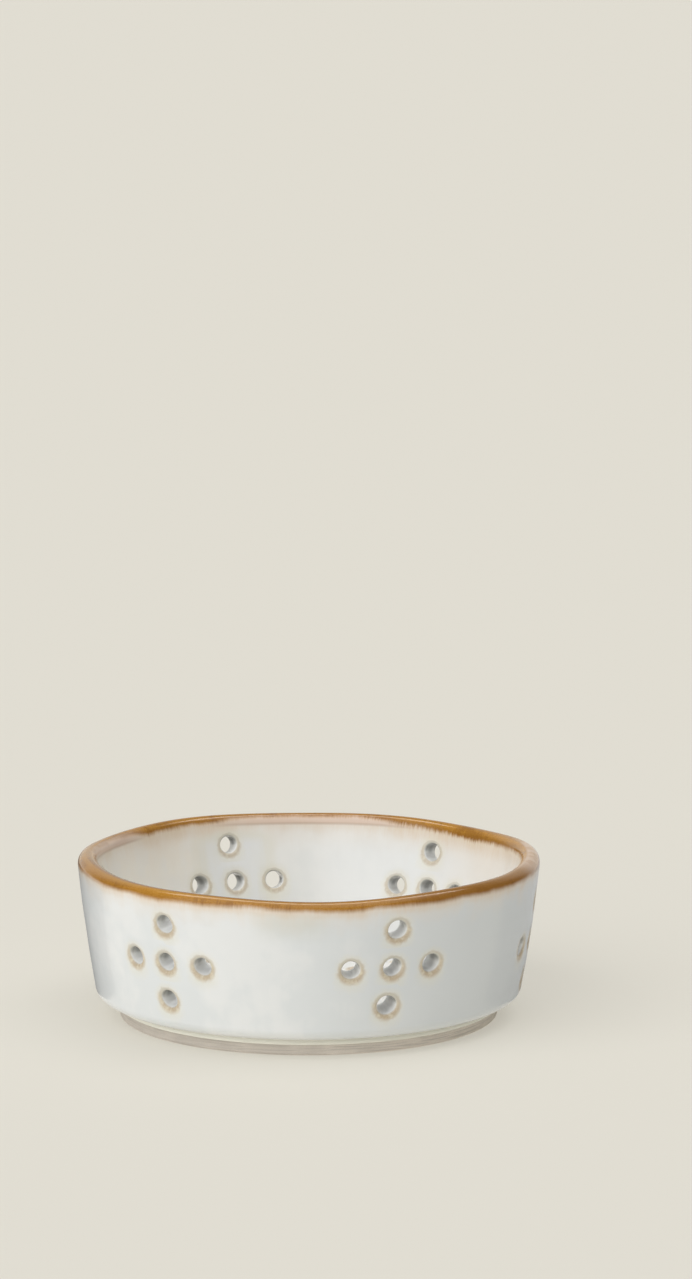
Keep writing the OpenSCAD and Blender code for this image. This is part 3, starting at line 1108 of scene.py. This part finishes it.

    # Bores: thin glaze and painted shade at the top, pooled glaze and painted light as white at the
    # bottom, painted shade deep inside, tan in the drains
    ring_noise = g.noise(run, 0.6, 2.0)
    drains = g.step(high, FLOOR_Z + 2.0, FLOOR_Z + 1.0)
    # Painted shade: the bore's colour reaches farther out over the upper edge, which faces down
    in_bore = g.step(g.add(reach, g.times(low, 0.4)), 1.1, 0.3)
    bore = Paint(g, tints, "thin")
    # Painted light: white at the bottom of each bore, along with pooled glaze
    bore.lay("pool", g.step(low, -0.6, 0.2))
    # Painted shade deep inside each bore, away from its bottom
    bore.lay(scaled(tints["thin"], 0.45), g.step(reach, -0.5, -2.6), g.step(low, 0.45, -0.2), 0.6)
    bore.lay("tan", drains)
    glaze.lay(bore.colour, in_bore)

    # Hole edges: tan where the glaze breaks over them, with painted shade on their upper side, in a
    # cream halo that runs down
    wide = g.add(2.3, g.wander(ring_noise, 2.0), g.times(low, 0.55), g.times(inside, -0.5))
    wide = g.larger(g.add(wide, g.times(drains, 0.5)), 1.2)
    ring = g.times(g.less(in_bore), g.step(reach, g.add(wide, 0.5), 1.4))
    halo_end = g.add(3.6, g.times(g.step(low, 0.1, 1.0), 3.0), g.wander(ring_noise, 3.0), 0.5)
    glaze.lay("cream", g.step(reach, halo_end, 1.2), g.step(reach, 0.3, 1.1), 0.45)
    broken = Paint(g, tints, "tan")
    broken.lay("cream", g.step(ring_noise, 0.42, 0.70, 0.0, 0.55))
    # Painted shade: darker on the upper side of each hole's edge
    broken.lay("thin", g.step(low, -0.1, -0.9), 0.45)
    strength = g.add(ring_noise, g.times(low, 0.25), g.times(drains, 0.3))
    strength = g.step(strength, 0.25, 0.7, 0.60, 0.95)
    strength = g.times(strength, g.add(1.0, g.times(inside, g.less(drains), -0.25)))
    glaze.lay(broken.colour, ring, strength)
    glaze.lay("amber_dark", ring, g.step(grain, 0.36, 0.28), 0.15)

    rough = g.add(look.gloss, g.times(ring, 0.08), g.wander(cloud, 0.06))
    height = g.add(g.times(g.noise(run, 0.45, 2.0), 0.05), g.times(streak, 0.02), g.times(grain, 0.006))
    g.node("NodeGroupOutput", glaze.colour, rough, height)
    return tree


def new_material(name):
    """A material, and the graph of its nodes."""
    made = bpy.data.materials.new(name)
    made.use_nodes = True
    return made, Graph(made.node_tree)


def glaze_material(name, bump):
    """Glossy glaze that is painted by the shared group."""
    made, g = new_material(name)
    field = g.node("ShaderNodeGroup", node_tree=glaze_field())
    shader = g.node("ShaderNodeBsdfPrincipled")
    g.feed(shader.inputs["Base Color"], field.outputs["Colour"])
    g.feed(shader.inputs["Roughness"], field.outputs["Roughness"])
    shader.inputs["IOR"].default_value = 1.5
    g.bump(shader, bump, field.outputs["Height"])
    g.end(shader)
    return made


def clay_material(name):
    """Bare stoneware: fine sandy grain with faint trimming lines, painted shade on the foot's lit left
    and painted light on its shaded right.
    """
    made, g = new_material(name)
    place_mm = g.place_mm()
    x, y, z = g.parts(place_mm)
    grain = g.noise(place_mm, 3.2, 3.0, 0.7)
    sand = g.noise(place_mm, 7.0, 1.0)
    cloud = g.noise(place_mm, 0.12, 2.0)
    line = g.noise(g.joined(g.times(x, 0.03), g.times(y, 0.03), z), 2.4, 2.0)
    clay = tuple(bpy.context.scene.glaze_look.clay)
    shares = {"clay": 1, "dark": 0.72, "light": 1.16, "pale": 1.40}
    body = Paint(g, {name: scaled(clay, share) for name, share in shares.items()}, "clay")
    body.lay("light", g.step(cloud, 0.3, 0.7))
    # Painted shade on the lit left of the foot, painted light on its shaded right
    body.lay("dark", patch(g, x, y, "foot_painted_shade"), 0.75)
    body.lay("pale", patch(g, x, y, "foot_painted_light"), 0.95)
    body.lay("dark", g.step(line, 0.46, 0.62), 0.5)
    body.lay("dark", g.step(grain, 0.5, 0.75), 0.4)
    body.lay("light", g.step(sand, 0.62, 0.75), 0.6)
    shader = g.node("ShaderNodeBsdfPrincipled")
    g.feed(shader.inputs["Base Color"], body.colour)
    g.feed(shader.inputs["Roughness"], g.add(0.72, g.times(grain, 0.2)))
    g.bump(shader, 0.6, g.add(g.times(grain, 0.06), g.times(sand, 0.03), g.times(line, 0.05)))
    g.end(shader)
    return made


def shared(name, maker, *given):
    """A material by name, made on first use."""
    return bpy.data.materials.get(name) or maker(name, *given)


# Pieces


def glaze_piece(name, thick, material, bump):
    """A coat of the skin with its finish."""
    made = coat(name, thick)
    made.data.materials.append(shared(material, glaze_material, bump))
    return made


class BOWL_OT_amber_rim(Operator):
    """Amber glaze over the rounded lip"""

    bl_idname = "bowl.amber_rim"
    bl_label = "Amber Rim"

    def execute(self, context):
        glaze_piece("amber_rim_coat", GLAZE_T, "amber_lip_finish", 0.5)
        return {"FINISHED"}


class BOWL_OT_outer_white(Operator):
    """White glaze outside, down to the strip on the foot"""

    bl_idname = "bowl.outer_white"
    bl_label = "Outer White Glaze"

    def execute(self, context):
        glaze_piece("outer_white_coat", GLAZE_T, "white_body_finish", 0.35)
        return {"FINISHED"}


class BOWL_OT_inner_white(Operator):
    """White glaze on the inside and the floor"""

    bl_idname = "bowl.inner_white"
    bl_label = "Inner White Glaze"

    def execute(self, context):
        glaze_piece("inner_white_coat", GLAZE_T, "white_body_finish", 0.35)
        return {"FINISHED"}


class BOWL_OT_underside(Operator):
    """White glaze under the floor, inside the foot ring"""

    bl_idname = "bowl.underside"
    bl_label = "Underside Glaze"

    def execute(self, context):
        glaze_piece("underside_coat", GLAZE_T, "white_body_finish", 0.35)
        return {"FINISHED"}


class BOWL_OT_hole_glaze(Operator):
    """Glaze that lines the side holes and the drain holes"""

    bl_idname = "bowl.hole_glaze"
    bl_label = "Hole Glaze"

    def execute(self, context):
        glaze_piece("side_hole_glaze", LINING_T, "hole_edge_finish", 0.25)
        glaze_piece("drain_hole_glaze", LINING_T, "hole_edge_finish", 0.25)
        return {"FINISHED"}


class BOWL_OT_foot(Operator):
    """Bare clay foot ring with worn edges and trimming lines"""

    bl_idname = "bowl.foot"
    bl_label = "Bare Foot"

    def execute(self, context):
        n = context.scene.bowl_shape.columns
        bare, inner, e, top = FOOT_R - GLAZE_T, FOOT_INNER_R, FOOT_EDGE, FOOT_H - 0.25
        c, s = arc(180, 270, 7)
        profile = list(zip(inner + e + e * c, e + e * s))
        profile += [(r, 0.0) for r in np.linspace(inner + e, bare - e, 9)[1:-1]]
        c, s = arc(270, 360, 7)
        profile += list(zip(bare - e + e * c, e + e * s))
        profile += [(bare, z) for z in np.linspace(e, top, 22)[1:]]
        profile += [(r, top) for r in np.linspace(bare, inner, 8)[1:]]
        profile += [(inner, z) for z in np.linspace(top, e, 10)[1:-1]]
        profile = np.array(profile)
        count = len(profile)
        a = np.repeat(np.arange(n) * TURN / n, count)
        r, z = np.tile(profile[:, 0], n), np.tile(profile[:, 1], n)
        side = np.clip(z / 1.5, 0, 1) * (z < FOOT_H - 0.3)
        # Trimming lines round the foot, coarse and fine, and a slow wear of its faces
        coarse = np.cos(TURN * (z + 0.12 * np.sin(2 * a)) / 0.9)
        fine = np.cos(TURN * z / 0.43 + 3 * a)
        wave = 0.5 + 0.5 * np.cos(4 * a + 1.0)
        worn = side * (0.07 * (0.5 + 0.3 * coarse + 0.2 * fine) + 0.10 * wave)
        r = np.where(r > (inner + bare) / 2, r - worn, r + worn)
        points = np.stack([r * np.cos(a), r * np.sin(a), z], -1)
        i, j = np.meshgrid(np.arange(n), np.arange(count), indexing="ij")
        here, after = i * count, (i + 1) % n * count
        up = (j + 1) % count
        faces = np.stack([here + j, after + j, after + up, here + up], -1).reshape(-1, 4).tolist()
        made = new_mesh("bare_foot_ring", points, faces, None, [])
        made.data.materials.append(shared("bare_clay_finish", clay_material))
        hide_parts("foot_ring")
        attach(made, ROOT)
        return {"FINISHED"}


class BOWL_OT_clay_core(Operator):
    """Clay of the wall and the floor, under the glazes"""

    bl_idname = "bowl.clay_core"
    bl_label = "Clay Core"

    def execute(self, context):
        for node in ("clay_wall", "clay_floor"):
            mesh = frame["nodes"][node].data
            mesh.materials.clear()
            mesh.materials.append(shared("bare_clay_finish", clay_material))
        return {"FINISHED"}


# Stage


# Soft lights as (direction, half width, half height, softness), the last three as tangents
KEY_BOX = ((-0.56, -0.60, 0.58), 0.60, 0.50, 0.15)
FILL_BOX = ((0.36, 0.0, 0.93), 0.40, 0.40, 0.20)
STRIP_BOX = ((0.0, 0.42, 0.91), 0.55, 0.08, 0.08)
# Dark cards on the floor as (name, grey, corners in metres)
CARDS = (
    ("card_left", 0.15, ((-0.086, -0.012), (-0.045, 0.085), (-0.02, 0.6), (-0.6, 0.6), (-0.6, 0.42))),
    ("card_right", 0.55, ((0.080, -0.032), (0.6, 0.21), (0.6, 0.6), (0.02, 0.6), (0.045, 0.085))),
)
CARD_Z = 0.0004
FLOOR_HALF = 60.0
# The picture's size, the place in it of the bowl's middle, and the lens, in pixels
FRAME_PX = (692, 1279)
BOWL_PX = (308.6, 933.1)
FOCAL_PX = 4602.0
BOWL_MIDDLE = (0, 0, 0.026)


def softbox(g, direction, toward, wide, high, soft):
    """Mask of a soft rectangular light at infinity, centred on a direction."""
    c = Vector(toward).normalized()
    right = c.cross(Vector((0, 0, 1))).normalized()
    up = right.cross(c)
    ahead = g.larger(g.vector("DOT_PRODUCT", direction, tuple(c)), 0.001)
    mask = g.step(ahead, 0.02, 0.1)
    for axis, half in ((right, wide), (up, high)):
        along = g.math("DIVIDE", g.vector("DOT_PRODUCT", direction, tuple(axis)), ahead)
        mask = g.times(mask, g.step(g.absolute(along), half + soft, half - soft))
    return mask


def stage_sheet(name, corners, z, finish):
    """A flat sheet of the stage, from its corners and height in metres."""
    mesh = bpy.data.meshes.new(name)
    mesh.from_pydata([(x, y, z) for x, y in corners], [], [tuple(range(len(corners)))])
    mesh.materials.append(finish)
    made = bpy.data.objects.new(name, mesh)
    bpy.context.scene.collection.objects.link(made)
    return made


class BOWL_OT_stage(Operator):
    """Plain floor and background, soft studio light and the camera"""

    bl_idname = "bowl.stage"
    bl_label = "Stage"

    def execute(self, context):
        look = context.scene.stage_look
        self.floor(look)
        self.cards()
        self.world(context.scene, look)
        self.camera(context.scene, look)
        context.scene.view_settings.view_transform = "Standard"
        return {"FINISHED"}

    def floor(self, look):
        """A wide pale floor, half lit and half glowing."""
        paper, g = new_material("paper_floor")
        shader = g.node("ShaderNodeBsdfPrincipled")
        seen = g.node("ShaderNodeLightPath").outputs["Is Camera Ray"]
        g.feed(shader.inputs["Base Color"], g.mix(seen, tuple(look.bounce), tuple(look.floor)))
        shader.inputs["Roughness"].default_value = 1.0
        shader.inputs["Specular IOR Level"].default_value = 0.0
        shader.inputs["Emission Color"].default_value = (*look.paper, 1)
        shader.inputs["Emission Strength"].default_value = look.glow
        g.end(shader)
        signs = ((-1, -1), (1, -1), (1, 1), (-1, 1))
        stage_sheet("floor", [(x * FLOOR_HALF, y * FLOOR_HALF) for x, y in signs], 0, paper)

    def cards(self):
        """Dark cards on the floor at both sides, which only the gloss of the glaze shows."""
        for name, grey, corners in CARDS:
            dark, g = new_material(name + "_grey")
            shader = g.node("ShaderNodeBsdfDiffuse")
            shader.inputs["Color"].default_value = (grey, grey, grey, 1)
            g.end(shader)
            card = stage_sheet(name, corners, CARD_Z, dark)
            for ray in ("camera", "diffuse", "shadow", "transmission"):
                setattr(card, "visible_" + ray, False)

    def world(self, scene, look):
        """Plain light from all round with two soft boxes, and what the eye and the gloss see."""
        scene.world = bpy.data.worlds.new("studio")
        scene.world.use_nodes = True
        g = Graph(scene.world.node_tree)
        direction = g.node("ShaderNodeTexCoord").outputs["Generated"]
        side, back, up = g.parts(direction)
        key = g.times(softbox(g, direction, *KEY_BOX), look.key)
        fill = g.times(softbox(g, direction, *FILL_BOX), look.fill)
        height = g.larger(up, 0.0)
        shade = g.times(g.step(side, -0.1, 0.6), g.step(up, 0.55, 0.15))
        sky = g.times(g.less(g.times(shade, 0.95)), look.sky)
        lit = g.add(sky, g.times(height, height, look.top), key, fill)
        # What the glaze mirrors: the pale background behind, the dark room in front, and the lights
        narrow = g.step(g.absolute(side), 0.80, 0.50)
        far = g.times(g.step(back, -0.25, 0.45), g.step(up, 0.75, 0.40), narrow)
        room = g.mix(far, (0.13, 0.13, 0.13), tuple(look.paper))
        overhead = g.times(g.step(up, 0.78, 0.90), 0.8)
        lamps = g.add(g.times(key, 0.4), overhead, g.times(softbox(g, direction, *STRIP_BOX), 5.5))
        mirrored = g.vector("ADD", room, g.joined(lamps, lamps, lamps))
        shown = g.node("ShaderNodeBackground", (1, 1, 1), lit)
        path = g.node("ShaderNodeLightPath")
        for ray, colour in (("Is Glossy Ray", mirrored), ("Is Camera Ray", tuple(look.paper))):
            over = g.node("ShaderNodeBackground", colour)
            given = (path.outputs[ray], shown.outputs[0], over.outputs[0])
            shown = g.node("ShaderNodeMixShader", *given)
        g.end(shown, "ShaderNodeOutputWorld")

    def camera(self, scene, look):
        """A level camera at the picture's angle, turned so that the bowl stands at its place in it."""
        made = bpy.data.cameras.new("camera")
        made.sensor_width = 36.0
        made.lens = FOCAL_PX * made.sensor_width / max(FRAME_PX)
        made.clip_start, made.clip_end = 0.05, 200.0
        camera = bpy.data.objects.new("camera", made)
        scene.collection.objects.link(camera)
        tilt = look.elevation
        away = Vector((0, -math.cos(tilt), math.sin(tilt)))
        camera.location = Vector(BOWL_MIDDLE) + look.distance * away
        right, down = BOWL_PX[0] - FRAME_PX[0] / 2, BOWL_PX[1] - FRAME_PX[1] / 2
        ray = Vector((right, -down, FOCAL_PX)).normalized()
        heading = math.asin(-ray.x / math.cos(tilt))
        level = math.cos(heading) * math.cos(tilt)
        drop = math.asin(-ray.y / math.hypot(level, math.sin(tilt)))
        pitch = drop - math.atan2(math.sin(tilt), level)
        camera.rotation_euler = (math.pi / 2 + pitch, 0, -heading)
        scene.camera = camera


STEPS = (
    BOWL_OT_clay_core,
    BOWL_OT_foot,
    BOWL_OT_underside,
    BOWL_OT_inner_white,
    BOWL_OT_outer_white,
    BOWL_OT_hole_glaze,
    BOWL_OT_amber_rim,
    BOWL_OT_stage,
)


class BOWL_PT_panel(Panel):
    """Lists the steps that build the bowl"""

    bl_idname = "BOWL_PT_panel"
    bl_label = "Berry Bowl"
    bl_space_type = "VIEW_3D"
    bl_region_type = "UI"
    bl_category = "Berry Bowl"

    def draw(self, context):
        for group in (context.scene.bowl_shape, context.scene.glaze_look, context.scene.stage_look):
            box = self.layout.box()
            for name in group.__annotations__:
                box.prop(group, name)
        for step in STEPS:
            self.layout.operator(step.bl_idname)


SETTINGS = {"bowl_shape": BowlShape, "glaze_look": GlazeLook, "stage_look": StageLook}
CLASSES = (*SETTINGS.values(), *STEPS, BOWL_PT_panel)


def register():
    for cls in CLASSES:
        bpy.utils.register_class(cls)
    for name, cls in SETTINGS.items():
        setattr(bpy.types.Scene, name, PointerProperty(type=cls))


def unregister():
    for name in SETTINGS:
        delattr(bpy.types.Scene, name)
    for cls in reversed(CLASSES):
        bpy.utils.unregister_class(cls)


def main():
    register()
    for step in STEPS:
        group, name = step.bl_idname.split(".")
        getattr(getattr(bpy.ops, group), name)()
    bpy.context.view_layer.update()


if __name__ == "__main__":
    main()
